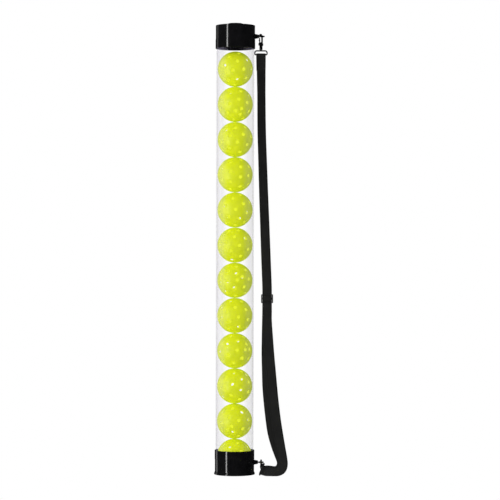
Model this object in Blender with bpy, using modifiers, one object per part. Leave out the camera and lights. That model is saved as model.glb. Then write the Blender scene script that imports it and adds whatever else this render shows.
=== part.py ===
"""Carry tube for perforated court balls: a clear tube between a push-on pick-up collar and a
pull-off cap, twelve hollow balls inside, and an adjustable webbing strap on two snap hooks.

Metres, +Z up. The origin is on the tube's axis at the plane that the collar stands on, and the
strap hangs on the +X side.
"""
import math

import bmesh
import bpy
from mathutils import Matrix, Vector

MM = 0.001

# Tube, collar and cap
SEGMENTS = 32
TUBE_RADIUS = 39.7 * MM
BORE_RADIUS = 38.1 * MM
TUBE_BOTTOM = 32.0 * MM
TUBE_TOP = 912.0 * MM
GRIP_LENGTH = 18.8 * MM
SEAT_RADIUS = TUBE_RADIUS + 0.3 * MM
FITTING_RADIUS = 41.2 * MM
BAND_RADIUS = 41.6 * MM
LIP_RADIUS = 42.75 * MM
CAP_TOP = 941.6 * MM
CAP_ROOF = 2.3 * MM
CAP_BUTTON_RADIUS = 15.0 * MM
CAP_BUTTON_HEIGHT = 4.4 * MM
FIT_GAP = 0.3 * MM

# Lip ring that the lowest ball rests on
RING_TOP = 27.2 * MM
RING_HEIGHT = 2.2 * MM
RING_INNER_RADIUS = 35.5 * MM
RING_OUTER_RADIUS = 39.0 * MM

# Balls
BALL_COUNT = 12
BALL_RADIUS = 36.8 * MM
BALL_WALL = 1.9 * MM
BALL_PITCH = 73.9 * MM
LOWEST_BALL_Z = 37.3 * MM
HOLE_RADIUS = 3.6 * MM
HOLE_CORNERS = 4
HOLE_RINGS = ((78, 3), (49.5, 7), (17, 10), (-17, 10), (-49.5, 7), (-78, 3))

# Screw eyes and the bosses that hold them
UPPER_EYE_Z = 919.0 * MM
LOWER_EYE_Z = 25.0 * MM
BOSS_ROOT_X = 39.7 * MM
BOSS_TIP_X = 49.4 * MM
BOSS_ROOT_RADIUS = 5.4 * MM
BOSS_TIP_RADIUS = 3.7 * MM
EYE_X = 55.6 * MM
EYE_RING_RADIUS = 4.7 * MM
EYE_WIRE_RADIUS = 1.2 * MM
SHANK_RADIUS = 1.4 * MM
SHANK_HOLE_RADIUS = 1.65 * MM
SHANK_END_X = 42.5 * MM

# Snap hooks, in a frame whose Z runs up the swivel axis from the level of the eye's wire
CLAW_OFFSET = 0.8 * MM
CLAW_RADIUS = 5.3 * MM
CLAW_WIRE = 1.8 * MM
CLAW_CENTRE_Z = -2.0 * MM
HOOK_BASE_TOP = -14.5 * MM
HOOK_BASE_BOTTOM = -20.0 * MM
HOOK_THICKNESS = 5.2 * MM
BARREL_RADIUS = 3.3 * MM
BARREL_BOTTOM = -28.6 * MM
POST_RADIUS = 1.45 * MM
POST_HEAD_RADIUS = 2.1 * MM
PIN_X = 4.4 * MM
PIN_Z = -17.2 * MM
PIN_RADIUS = 0.8 * MM
PIN_HOLE_RADIUS = 0.95 * MM
GATE_SLOT = 3.2 * MM
GATE_WIRE = 1.25 * MM
LOOP_WIRE = 1.4 * MM
LOOP_HALF_WIDTH = 12.8 * MM
LOOP_TOP_Z = -30.6 * MM
LOOP_BAR_Z = -38.8 * MM

# Strap
STRAP_WIDTH = 20.0 * MM
STRAP_THICKNESS = 1.1 * MM
FOLD_RADIUS = LOOP_WIRE + 0.45 * MM + STRAP_THICKNESS / 2
PLY_SPACING = STRAP_THICKNESS + FIT_GAP
SLIDER_CENTRE = Vector((67.6, -14.0, 368.7)) * MM
SLIDER_HALF_WIDTH = 12.6 * MM
SLIDER_HALF_HEIGHT = 9.15 * MM
SLIDER_THICKNESS = 1.0 * MM
SLOT_HALF_WIDTH = 10.6 * MM
SLOT_LOW = 1.4 * MM
SLOT_HIGH = 7.65 * MM

X, Y, Z = Vector((1, 0, 0)), Vector((0, 1, 0)), Vector((0, 0, 1))


def clear_scene():
    for obj in list(bpy.data.objects):
        bpy.data.objects.remove(obj)


def new_collection(name):
    collection = bpy.data.collections.new(name)
    bpy.context.scene.collection.children.link(collection)
    return collection


def material(name, colour, roughness, metallic=0.0, alpha=1.0):
    made = bpy.data.materials.new(name)
    made.use_nodes = True
    shader = made.node_tree.nodes["Principled BSDF"]
    shader.inputs["Base Color"].default_value = (*colour, 1.0)
    shader.inputs["Roughness"].default_value = roughness
    shader.inputs["Metallic"].default_value = metallic
    shader.inputs["Alpha"].default_value = alpha
    return made


clear_scene()
PARTS = new_collection("ball_carry_tube")
CUTTERS = new_collection("cutters")
BLACK_PLASTIC = ((0.012, 0.012, 0.013), 0.15)
WEBBING = ((0.011, 0.011, 0.012), 0.85)
BALL_PLASTIC = ((0.62, 0.80, 0.02), 0.40)
PLATED_METAL = ((0.03, 0.03, 0.033), 0.25, 1.0)
SPRING_STEEL = ((0.45, 0.45, 0.47), 0.30, 1.0)


def link(obj, collection=PARTS):
    collection.objects.link(obj)
    return obj


def as_guide(obj):
    obj.hide_render = True
    obj.display_type = "WIRE"
    return obj


def finish_part(obj, look):
    obj.data.materials.append(material(obj.name, *look))
    for polygon in obj.data.polygons:
        polygon.use_smooth = True
    obj.data.set_sharp_from_angle(angle=math.radians(30))
    return obj


def mesh_object(name, bm, collection=PARTS):
    mesh = bpy.data.meshes.new(name)
    bm.to_mesh(mesh)
    bm.free()
    return link(bpy.data.objects.new(name, mesh), collection)


def cylinder(name, radius, start, end, sides=16, end_radius=None, collection=CUTTERS):
    """A cylinder or cone from start to end, with flat caps."""
    run = end - start
    bm = bmesh.new()
    bmesh.ops.create_cone(
        bm,
        cap_ends=True,
        segments=sides,
        radius1=radius,
        radius2=radius if end_radius is None else end_radius,
        depth=run.length,
    )
    turn = Z.rotation_difference(run.normalized()).to_matrix().to_4x4()
    bmesh.ops.transform(bm, matrix=Matrix.Translation((start + end) / 2) @ turn, verts=bm.verts)
    return mesh_object(name, bm, collection)


def box(name, low, high, collection=CUTTERS):
    bm = bmesh.new()
    bmesh.ops.create_cube(bm, size=1.0)
    low, high = Vector(low), Vector(high)
    bmesh.ops.scale(bm, vec=high - low, verts=bm.verts)
    bmesh.ops.translate(bm, vec=(low + high) / 2, verts=bm.verts)
    return mesh_object(name, bm, collection)


def combine(obj, operation, other):
    """Cut or join another object, which stays as a guide."""
    modifier = obj.modifiers.new(f"{operation.lower()} {other.name}", "BOOLEAN")
    modifier.operation = operation
    modifier.object = as_guide(other)
    modifier.solver = "EXACT"


def turned(name, profile, closed):
    """Turn a profile of (radius, height) points about Z; its outer side runs downwards."""
    mesh = bpy.data.meshes.new(name)
    points = [(radius, 0, height) for radius, height in profile]
    edges = [(i, i + 1) for i in range(len(points) - 1)]
    if closed:
        edges.append((len(points) - 1, 0))
    mesh.from_pydata(points, edges, [])
    obj = link(bpy.data.objects.new(name, mesh))
    screw = obj.modifiers.new("turn", "SCREW")
    screw.axis = "Z"
    screw.steps = screw.render_steps = SEGMENTS
    screw.use_merge_vertices = True
    screw.merge_threshold = 0.000001
    screw.use_smooth_shade = True
    return obj


def wire(name, points, radius, cyclic=False, sides=1, collection=PARTS):
    """A round wire along a polyline, as a closed mesh."""
    curve = bpy.data.curves.new(name, "CURVE")
    curve.dimensions = "3D"
    curve.bevel_depth = radius
    curve.bevel_resolution = sides
    curve.render_resolution_u = 0
    curve.use_fill_caps = True
    spline = curve.splines.new("POLY")
    spline.points.add(len(points) - 1)
    for point, place in zip(spline.points, points):
        point.co = (*place, 1.0)
    spline.use_cyclic_u = cyclic
    guide = link(bpy.data.objects.new(f"{name}_path", curve), collection)
    bpy.context.view_layer.update()
    evaluated = guide.evaluated_get(bpy.context.evaluated_depsgraph_get())
    mesh = bpy.data.meshes.new_from_object(evaluated)
    mesh.name = name
    bm = bmesh.new()
    bm.from_mesh(mesh)
    bmesh.ops.remove_doubles(bm, verts=bm.verts, dist=0.000001)
    bmesh.ops.recalc_face_normals(bm, faces=bm.faces)
    bm.to_mesh(mesh)
    bm.free()
    obj = link(bpy.data.objects.new(name, mesh), collection)
    obj.matrix_world = guide.matrix_world
    bpy.data.objects.remove(guide)
    return obj


def empty(name, matrix):
    obj = link(bpy.data.objects.new(name, None))
    obj.matrix_world = matrix
    obj.empty_display_size = 5 * MM
    return obj


def arc(centre, radius, start_deg, end_deg, steps):
    """Points (x, z) on an arc about a centre."""
    for i in range(steps + 1):
        angle = math.radians(start_deg + (end_deg - start_deg) * i / steps)
        yield centre[0] + radius * math.cos(angle), centre[1] + radius * math.sin(angle)


# ---------------------------------------------------------------- tube, collar, ring and cap


def clear_tube():
    profile = [
        (TUBE_RADIUS, TUBE_TOP),
        (TUBE_RADIUS, TUBE_BOTTOM),
        (BORE_RADIUS, TUBE_BOTTOM),
        (BORE_RADIUS, TUBE_TOP),
    ]
    tube = turned("clear_tube", profile, closed=True)
    finish_part(tube, ((0.93, 0.93, 0.96), 0.05, 0.0, 0.2))


def add_eye_boss(fitting, height):
    boss = cylinder(
        f"{fitting.name}_boss",
        BOSS_ROOT_RADIUS,
        X * BOSS_ROOT_X + Z * height,
        X * BOSS_TIP_X + Z * height,
        end_radius=BOSS_TIP_RADIUS,
    )
    hole = cylinder(
        f"{fitting.name}_shank_hole",
        SHANK_HOLE_RADIUS,
        X * (SHANK_END_X - 0.7 * MM) + Z * height,
        X * (BOSS_TIP_X + 2 * MM) + Z * height,
        sides=12,
    )
    combine(fitting, "UNION", boss)
    combine(fitting, "DIFFERENCE", hole)


def pickup_collar():
    grip_top = TUBE_BOTTOM + GRIP_LENGTH
    shoulder = TUBE_BOTTOM - FIT_GAP
    groove = RING_OUTER_RADIUS + FIT_GAP
    profile = [
        (BAND_RADIUS - 0.6 * MM, grip_top),
        (BAND_RADIUS, grip_top - 0.6 * MM),
        (BAND_RADIUS, TUBE_BOTTOM),
        (FITTING_RADIUS, shoulder - 0.7 * MM),
        (FITTING_RADIUS, 6.0 * MM),
        (LIP_RADIUS, 2.6 * MM),
        (LIP_RADIUS, 0.4 * MM),
        (LIP_RADIUS - 0.4 * MM, 0.0),
        (BORE_RADIUS + 0.8 * MM, 0.0),
        (BORE_RADIUS, 0.8 * MM),
        (BORE_RADIUS, RING_TOP - RING_HEIGHT - FIT_GAP),
        (groove, RING_TOP - RING_HEIGHT - FIT_GAP),
        (groove, RING_TOP + FIT_GAP),
        (BORE_RADIUS, RING_TOP + FIT_GAP),
        (BORE_RADIUS, shoulder),
        (SEAT_RADIUS, shoulder),
        (SEAT_RADIUS, grip_top),
    ]
    collar = turned("pickup_collar", profile, closed=True)
    add_eye_boss(collar, LOWER_EYE_Z)
    finish_part(collar, BLACK_PLASTIC)


def retaining_ring():
    """A rubber ring whose thin inner lip is narrower than a ball."""
    bottom = RING_TOP - RING_HEIGHT
    profile = [
        (RING_OUTER_RADIUS, RING_TOP),
        (RING_OUTER_RADIUS, bottom),
        (BORE_RADIUS, bottom),
        (RING_INNER_RADIUS, RING_TOP - 1.2 * MM),
        (RING_INNER_RADIUS, RING_TOP - 0.4 * MM),
        (BORE_RADIUS, RING_TOP),
    ]
    finish_part(turned("retaining_ring", profile, closed=True), ((0.02, 0.02, 0.02), 0.6))


def top_cap():
    rim = TUBE_TOP - GRIP_LENGTH
    shoulder = TUBE_TOP + FIT_GAP
    button_base = CAP_BUTTON_RADIUS + 2 * MM
    profile = [
        (0.0, CAP_TOP + CAP_BUTTON_HEIGHT),
        (CAP_BUTTON_RADIUS, CAP_TOP + CAP_BUTTON_HEIGHT),
        (button_base, CAP_TOP),
        (FITTING_RADIUS - 0.7 * MM, CAP_TOP),
        (FITTING_RADIUS, CAP_TOP - 0.7 * MM),
        (FITTING_RADIUS, shoulder + 0.7 * MM),
        (BAND_RADIUS, TUBE_TOP),
        (BAND_RADIUS, rim + 0.6 * MM),
        (BAND_RADIUS - 0.6 * MM, rim),
        (SEAT_RADIUS, rim),
        (SEAT_RADIUS, shoulder),
        (BORE_RADIUS, shoulder),
        (BORE_RADIUS, CAP_TOP - CAP_ROOF),
        (0.0, CAP_TOP - CAP_ROOF),
    ]
    cap = turned("top_cap", profile, closed=False)
    add_eye_boss(cap, UPPER_EYE_Z)
    finish_part(cap, BLACK_PLASTIC)


def screw_eye(name, height):
    bpy.ops.mesh.primitive_torus_add(
        major_radius=EYE_RING_RADIUS,
        minor_radius=EYE_WIRE_RADIUS,
        major_segments=18,
        minor_segments=8,
        location=(EYE_X, 0, height),
    )
    eye = bpy.context.active_object
    eye.name = name
    for collection in list(eye.users_collection):
        collection.objects.unlink(eye)
    link(eye)
    shank = cylinder(
        f"{name}_shank",
        SHANK_RADIUS,
        X * SHANK_END_X + Z * height,
        X * (EYE_X - EYE_RING_RADIUS + 0.4 * MM) + Z * height,
        sides=10,
    )
    combine(eye, "UNION", shank)
    finish_part(eye, PLATED_METAL)


# ---------------------------------------------------------------- balls


def ball_directions():
    """Directions of the holes, in rings about the ball's poles, each ring half a step on."""
    for ring, (latitude, count) in enumerate(HOLE_RINGS):
        for i in range(count):
            angle = 2 * math.pi * (i + 0.5 * (ring % 2)) / count
            flat = math.cos(math.radians(latitude))
            yield Vector((flat * math.cos(angle), flat * math.sin(angle), math.sin(math.radians(latitude))))


def ball_mesh():
    """The hull of the hole rims, with the holes opened and the skin given its thickness."""
    bm = bmesh.new()
    spread = math.asin(HOLE_RADIUS / BALL_RADIUS)
    rims = []
    for direction in ball_directions():
        side = direction.cross(Z).normalized()
        up = side.cross(direction)
        rim = []
        for i in range(HOLE_CORNERS):
            angle = 2 * math.pi * (i + 0.5) / HOLE_CORNERS
            offset = (side * math.cos(angle) + up * math.sin(angle)) * math.sin(spread)
            point = (direction * math.cos(spread) + offset) * BALL_RADIUS
            rim.append(bm.verts.new(point))
        rims.append(set(rim))
    bmesh.ops.convex_hull(bm, input=bm.verts)
    covers = [face for face in bm.faces if any(set(face.verts) <= rim for rim in rims)]
    bmesh.ops.delete(bm, geom=covers, context="FACES_ONLY")
    bmesh.ops.recalc_face_normals(bm, faces=bm.faces)
    mesh = bpy.data.meshes.new("perforated_ball")
    bm.to_mesh(mesh)
    bm.free()
    return mesh


def balls():
    mesh = ball_mesh()
    mesh.materials.append(material("ball", *BALL_PLASTIC))
    for number in range(1, BALL_COUNT + 1):
        ball = link(bpy.data.objects.new(f"ball_{number:02d}", mesh))
        ball.location = (0, 0, LOWEST_BALL_Z + (number - 1) * BALL_PITCH)
        skin = ball.modifiers.new("wall", "SOLIDIFY")
        skin.thickness = BALL_WALL
        skin.offset = -1


# ---------------------------------------------------------------- snap hooks


def hook_matrix(eye_height, swing_direction, swing_deg):
    """The hook's frame: Z up its swivel axis, X from its back to its gate.

    The hook grips the eye's wire where the wire lies in swing_direction from the eye's centre,
    and is swung outwards from hanging straight down by swing_deg.
    """
    outward = swing_direction.normalized()
    swing = math.radians(swing_deg)
    grip = X * EYE_X + Z * eye_height + outward * EYE_RING_RADIUS
    up = Z * math.cos(swing) - outward * math.sin(swing)
    gate_side = outward * math.cos(swing) + Z * math.sin(swing)
    third = up.cross(gate_side)
    frame = Matrix((gate_side, third, up)).transposed().to_4x4()
    frame.translation = grip - gate_side * CLAW_OFFSET
    return frame


def hook_frame(prefix, pivot):
    back = CLAW_OFFSET - CLAW_RADIUS
    path = [(back + 0.9 * MM, -16.5 * MM), (back + 0.2 * MM, -13 * MM), (back, -9 * MM), (back, -5 * MM)]
    path += list(arc((CLAW_OFFSET, CLAW_CENTRE_Z), CLAW_RADIUS, 180, -8, 10))
    points = [Vector((x, 0, z)) for x, z in path]
    frame = wire(f"{prefix}_hook_frame", points, CLAW_WIRE)
    half = HOOK_THICKNESS / 2
    base = box(f"{prefix}_hook_base", (-5.9 * MM, -half, HOOK_BASE_BOTTOM), (6.8 * MM, half, HOOK_BASE_TOP))
    barrel = cylinder(f"{prefix}_hook_barrel", BARREL_RADIUS, Z * BARREL_BOTTOM, Z * (HOOK_BASE_BOTTOM + MM))
    post_hole = cylinder(f"{prefix}_post_hole", POST_RADIUS + FIT_GAP, Z * -30 * MM, Z * -13 * MM, sides=12)
    slot = box(
        f"{prefix}_gate_slot",
        (PIN_X - 2.1 * MM, -GATE_SLOT / 2, HOOK_BASE_BOTTOM - MM),
        (10 * MM, GATE_SLOT / 2, HOOK_BASE_TOP + MM),
    )
    pin_place = Vector((PIN_X, 0, PIN_Z))
    pin_hole = cylinder(f"{prefix}_pin_hole", PIN_HOLE_RADIUS, pin_place - Y * 4 * MM, pin_place + Y * 4 * MM, 12)
    combine(frame, "UNION", base)
    combine(frame, "UNION", barrel)
    for cutter in (post_hole, slot, pin_hole):
        combine(frame, "DIFFERENCE", cutter)
    for obj in (frame, base, barrel, post_hole, slot, pin_hole):
        obj.parent = pivot
    finish_part(frame, PLATED_METAL)


def hook_gate(prefix, pivot):
    """The sprung gate, with its origin on its pin."""
    pin = Vector((PIN_X, 0, PIN_Z))
    path = [Vector((5.1, 0, -14.8)), Vector((5.5, 0, -11)), Vector((5.9, 0, -7)), Vector((6.0, 0, -3.4))]
    gate = wire(f"{prefix}_hook_gate", [place * MM - pin for place in path], GATE_WIRE)
    hub = cylinder(f"{prefix}_gate_hub", 1.9 * MM, Y * -1.4 * MM, Y * 0, 12)
    web = box(f"{prefix}_gate_web", (-0.4 * MM, -1.4 * MM, 0.4 * MM), (1.6 * MM, 0, 3.6 * MM))
    knob_z = 7.8 * MM
    knob = cylinder(
        f"{prefix}_gate_knob", 1.1 * MM, Vector((1.2 * MM, 0, knob_z)), Vector((3.9 * MM, 0, knob_z)), 10
    )
    hole = cylinder(f"{prefix}_gate_hole", PIN_HOLE_RADIUS, Y * -3 * MM, Y * 3 * MM, 12)
    for other in (web, hub, knob):
        combine(gate, "UNION", other)
    combine(gate, "DIFFERENCE", hole)
    for obj in (gate, hub, web, knob, hole):
        obj.parent = pivot
        obj.location = pin
    finish_part(gate, PLATED_METAL)


def hook_pin_and_spring(prefix, pivot):
    place = Vector((PIN_X, 0, PIN_Z))
    pin = cylinder(f"{prefix}_gate_pin", PIN_RADIUS, place - Y * 2.9 * MM, place + Y * 2.9 * MM, 12, collection=PARTS)
    turns, steps, coil, start, length = 3, 8, 1.35 * MM, 0.45 * MM, 0.9 * MM
    points = []
    for i in range(turns * steps + 1):
        angle = 2 * math.pi * i / steps
        along = start + length * i / (turns * steps)
        points.append(place + Vector((coil * math.cos(angle), along, coil * math.sin(angle))))
    spring = wire(f"{prefix}_gate_spring", points, 0.12 * MM, sides=0)
    for obj in (pin, spring):
        obj.parent = pivot
        finish_part(obj, SPRING_STEEL)


def loop_path():
    """The strap loop's outline: tight corners at the strap bar, rounder ones at the post."""
    low, high = 1.9 * MM, 4.1 * MM
    corners = (
        (LOOP_HALF_WIDTH - low, LOOP_BAR_Z + low, low, -90),
        (LOOP_HALF_WIDTH - high, LOOP_TOP_Z - high, high, 0),
        (high - LOOP_HALF_WIDTH, LOOP_TOP_Z - high, high, 90),
        (low - LOOP_HALF_WIDTH, LOOP_BAR_Z + low, low, 180),
    )
    for x, z, radius, start in corners:
        yield from arc((x, z), radius, start, start + 90, 4)


def swivel_loop(prefix, matrix):
    """The wire loop for the strap, with the post that turns in the hook's barrel."""
    loop = wire(f"{prefix}_swivel_loop", [Vector((x, 0, z)) for x, z in loop_path()], LOOP_WIRE, cyclic=True)
    post = cylinder(f"{prefix}_loop_post", POST_RADIUS, Z * (LOOP_TOP_Z - 0.5 * MM), Z * -13.5 * MM, 12)
    head = cylinder(f"{prefix}_post_head", POST_HEAD_RADIUS, Z * -14.2 * MM, Z * -12.8 * MM, 12)
    pivot = empty(f"{prefix}_loop_place", matrix)
    for other in (post, head):
        combine(loop, "UNION", other)
    for obj in (loop, post, head):
        obj.parent = pivot
    finish_part(loop, PLATED_METAL)


def snap_hook(prefix, matrix, loop_matrix):
    pivot = empty(f"{prefix}_hook_pivot", matrix)
    hook_frame(prefix, pivot)
    hook_gate(prefix, pivot)
    hook_pin_and_spring(prefix, pivot)
    swivel_loop(prefix, loop_matrix)


def loop_frame(hook, width_direction):
    """The hook's frame turned about its swivel axis until its X lies along the loop's width."""
    up = hook.to_3x3().col[2]
    across = (width_direction - up * width_direction.dot(up)).normalized()
    frame = Matrix((across, up.cross(across), up)).transposed().to_4x4()
    frame.translation = hook.translation
    return frame


# ---------------------------------------------------------------- strap


def smooth(stations, step=12 * MM, least=2):
    """Stations (place, width direction) joined by a smooth curve, as closer-set stations."""
    places = [place for place, _ in stations]
    widths = [width for _, width in stations]
    last = len(stations) - 1
    out = []
    for i in range(last):
        before, after = places[max(i - 1, 0)], places[min(i + 2, last)]
        start, end = places[i], places[i + 1]
        span = (end - start).length
        pieces = max(least if span > 4 * MM else 1, round(span / step))
        for k in range(pieces):
            t = k / pieces
            leave = (end - before) * (span / ((end - start).length + (start - before).length + 1e-9))
            arrive = (after - start) * (span / ((after - end).length + (end - start).length + 1e-9))
            place = (
                start * (2 * t**3 - 3 * t**2 + 1)
                + leave * (t**3 - 2 * t**2 + t)
                + end * (3 * t**2 - 2 * t**3)
                + arrive * (t**3 - t**2)
            )
            out.append((place, widths[i].lerp(widths[i + 1], t)))
    out.append(stations[-1])
    return out


def webbing(name, stations):
    """A flat strap lofted through stations, as one closed solid."""
    rows = smooth(stations)
    bm = bmesh.new()
    rings = []
    for i, (place, width) in enumerate(rows):
        run = (rows[min(i + 1, len(rows) - 1)][0] - rows[max(i - 1, 0)][0]).normalized()
        across = (width - run * width.dot(run)).normalized() * STRAP_WIDTH / 2
        through = run.cross(across).normalized() * STRAP_THICKNESS / 2
        corners = (across + through, through - across, -across - through, across - through)
        rings.append([bm.verts.new(place + corner) for corner in corners])
    for ring, following in zip(rings, rings[1:]):
        for k in range(4):
            bm.faces.new((ring[k], ring[(k + 1) % 4], following[(k + 1) % 4], following[k]))
    bm.faces.new(rings[0][::-1])
    bm.faces.new(rings[-1])
    bmesh.ops.recalc_face_normals(bm, faces=bm.faces)
    finish_part(mesh_object(name, bm), WEBBING)


def fold(bar, front, run, width, radius, steps=6):
    """Stations round a bar, from its front to its back, on the side away from run."""
    for i in range(steps + 1):
        angle = math.pi * i / steps
        yield bar + front * (radius * math.cos(angle)) - run * (radius * math.sin(angle)), width


# The strap's free run, from the sewn top down to the slider: x, y, z and the width's x, y
UPPER_RUN = (
    (53.9, -4.6, 868, 0.985, 0.17),
    (54.2, -4.8, 846, 0.93, 0.37),
    (54.7, -5.0, 800, 0.87, 0.49),
    (55.6, -6.0, 720, 0.90, 0.44),
    (57.7, -7.5, 655, 0.92, 0.39),
    (59.9, -9.0, 590, 0.95, 0.31),
    (62.6, -10.6, 520, 0.98, 0.20),
    (65.2, -12.0, 450, 1.0, 0.05),
    (67.4, -12.65, 395, 1.0, 0.0),
)
# Through the slider, relative to its centre: y and z of the running strap and of the sewn end
SLIDER_WEAVE = (
    (1.35, 10.4),
    (1.35, 8.4),
    (1.0, 7.3),
    (-0.6, 5.2),
    (-2.1, 3.3),
    (-2.65, 1.6),
    (-2.65, -1.6),
    (-2.1, -3.3),
    (-0.6, -5.2),
    (1.0, -7.3),
    (1.35, -8.4),
    (1.35, -10.4),
)
SEWN_END = (
    (2.75, -11.0),
    (2.7, -8.0),
    (2.3, -5.0),
    (1.5, -2.8),
    (1.3, -1.0),
    (1.25, 1.2),
    (0.75, 2.0),
    (0.0, 2.25),
    (-0.75, 2.0),
    (-1.25, 1.2),
    (-1.3, 0.0),
    (-1.3, -1.4),
)
# Below the slider, down and round to the lower loop: x, y, z and the width's direction
OUTER_RUN = (
    (67.9, -13.2, 340, 1.0, 0.0, 0.0),
    (68.7, -13.2, 315, 1.0, 0.0, 0.0),
    (70.4, -15.6, 285, 1.0, 0.0, 0.0),
    (72.9, -19.6, 252, 1.0, 0.0, 0.02),
    (76.0, -24.0, 219, 1.0, 0.0, 0.04),
    (79.0, -27.0, 186, 1.0, 0.0, 0.06),
    (82.3, -30.5, 153, 1.0, 0.0, 0.08),
    (86.3, -34.5, 120, 1.0, 0.0, 0.10),
    (91.3, -39.0, 88, 1.0, -0.02, 0.12),
    (96.8, -43.5, 56, 1.0, -0.05, 0.12),
    (100.3, -46.5, 36, 0.98, -0.1, -0.05),
    (101.0, -48.6, 24.5, 0.92, -0.15, -0.35),
    (98.2, -50.2, 15.8, 0.75, -0.25, -0.62),
    (92.0, -51.0, 11.6, 0.35, -0.40, -0.85),
    (84.0, -50.0, 10.6, 0.05, -0.45, -0.88),
    (75.0, -47.8, 10.8, -0.15, -0.30, -0.92),
)
INNER_RUN = (
    (75.0, -40.6, 12.4, -0.15, -0.40, -0.88),
    (83.0, -43.2, 12.2, 0.0, -0.55, -0.83),
    (90.5, -44.4, 14.2, 0.35, -0.50, -0.79),
    (96.5, -43.6, 20.0, 0.70, -0.35, -0.60),
    (98.3, -41.5, 30.0, 0.95, -0.20, -0.30),
    (92.8, -38.6, 46.0, 1.0, -0.05, 0.02),
    (86.8, -35.6, 62.0, 1.0, 0.0, 0.12),
    (78.9, -31.4, 90, 1.0, 0.0, 0.14),
    (74.3, -27.0, 121, 1.0, 0.0, 0.10),
    (70.7, -23.4, 153, 1.0, 0.0, 0.08),
    (68.0, -20.4, 186, 1.0, 0.0, 0.04),
    (67.0, -17.6, 219, 1.0, 0.0, 0.02),
    (66.2, -15.4, 252, 1.0, 0.0, 0.0),
    (66.5, -12.6, 285, 1.0, 0.0, 0.0),
    (67.0, -11.3, 315, 1.0, 0.0, 0.0),
    (67.5, -11.3, 340, 1.0, 0.0, 0.0),
)


def at(row):
    return Vector(row[:3]) * MM, Vector((*row[3:], 0, 0)[:3]).normalized()


def beside_slider(rows):
    return [(SLIDER_CENTRE + Y * y * MM + Z * z * MM, X) for y, z in rows]


def strap(upper_loop, lower_loop):
    upper_bar = upper_loop @ (Z * LOOP_BAR_Z)
    run = [at(row) for row in UPPER_RUN]
    tail = [(place + Z.cross(width) * PLY_SPACING, width) for place, width in run[:2]]
    stations = tail[::-1] + list(fold(upper_bar, Y, -Z, X, FOLD_RADIUS)) + run

    lower_bar = lower_loop @ (Z * LOOP_BAR_Z)
    width = -lower_loop.to_3x3().col[0]
    leave = (X - width * X.dot(width)).normalized()
    front = width.cross(leave)
    if front.y > 0:
        front = -front
    outer = [at(row) for row in OUTER_RUN]
    inner = [at(row) for row in INNER_RUN]
    half_turn = list(fold(lower_bar, front, leave, width, FOLD_RADIUS, steps=8))
    first = [(half_turn[0][0] + leave * 5 * MM, width)] + half_turn[:5]
    second = half_turn[5:] + [(half_turn[-1][0] + leave * 5 * MM, width)]
    webbing("strap_webbing", stations + beside_slider(SLIDER_WEAVE) + outer + first)
    webbing("strap_return", second + inner + beside_slider(SEWN_END))


def strap_slider():
    half = SLIDER_THICKNESS / 2
    slider = box(
        "strap_slider",
        (-SLIDER_HALF_WIDTH, -half, -SLIDER_HALF_HEIGHT),
        (SLIDER_HALF_WIDTH, half, SLIDER_HALF_HEIGHT),
        collection=PARTS,
    )
    edges = slider.modifiers.new("round corners", "BEVEL")
    edges.width = 1.5 * MM
    edges.segments = 2
    edges.limit_method = "WEIGHT"
    sharpness = slider.data.attributes.new("bevel_weight_edge", "FLOAT", "EDGE")
    for edge in slider.data.edges:
        start, end = (slider.data.vertices[i].co for i in edge.vertices)
        sharpness.data[edge.index].value = float(abs(start.y - end.y) > half)
    slots = []
    for side, low, high in (("upper", SLOT_LOW, SLOT_HIGH), ("lower", -SLOT_HIGH, -SLOT_LOW)):
        slots.append(
            box(f"slider_{side}_slot", (-SLOT_HALF_WIDTH, -5 * MM, low), (SLOT_HALF_WIDTH, 5 * MM, high))
        )
    for slot in slots:
        slot.location = SLIDER_CENTRE
        combine(slider, "DIFFERENCE", slot)
    slider.location = SLIDER_CENTRE
    finish_part(slider, BLACK_PLASTIC)


# ---------------------------------------------------------------- the whole object


def main():
    clear_tube()
    pickup_collar()
    retaining_ring()
    top_cap()
    screw_eye("upper_screw_eye", UPPER_EYE_Z)
    screw_eye("lower_screw_eye", LOWER_EYE_Z)
    balls()
    upper = hook_matrix(UPPER_EYE_Z, Vector((-0.5, -0.866, 0)), 0)
    upper_loop = loop_frame(upper, X)
    snap_hook("upper", upper, upper_loop)
    lower = hook_matrix(LOWER_EYE_Z, Vector((0.042, -0.999, 0)), 74)
    lower_loop = loop_frame(lower, Vector((0.352, -0.245, 0.904)))
    snap_hook("lower", lower, lower_loop)
    strap(upper_loop, lower_loop)
    strap_slider()
    bpy.context.view_layer.update()


main()
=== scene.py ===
"""Looks for the ball carry tube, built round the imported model, in metres with +Z up.

Every CAD node is replaced by a finer piece of the same shape and place: turned shells, cast hooks,
round wire, perforated ball skins and woven strap.
"""
import math

import bmesh
import bpy
from mathutils import Euler, Matrix, Vector


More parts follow.
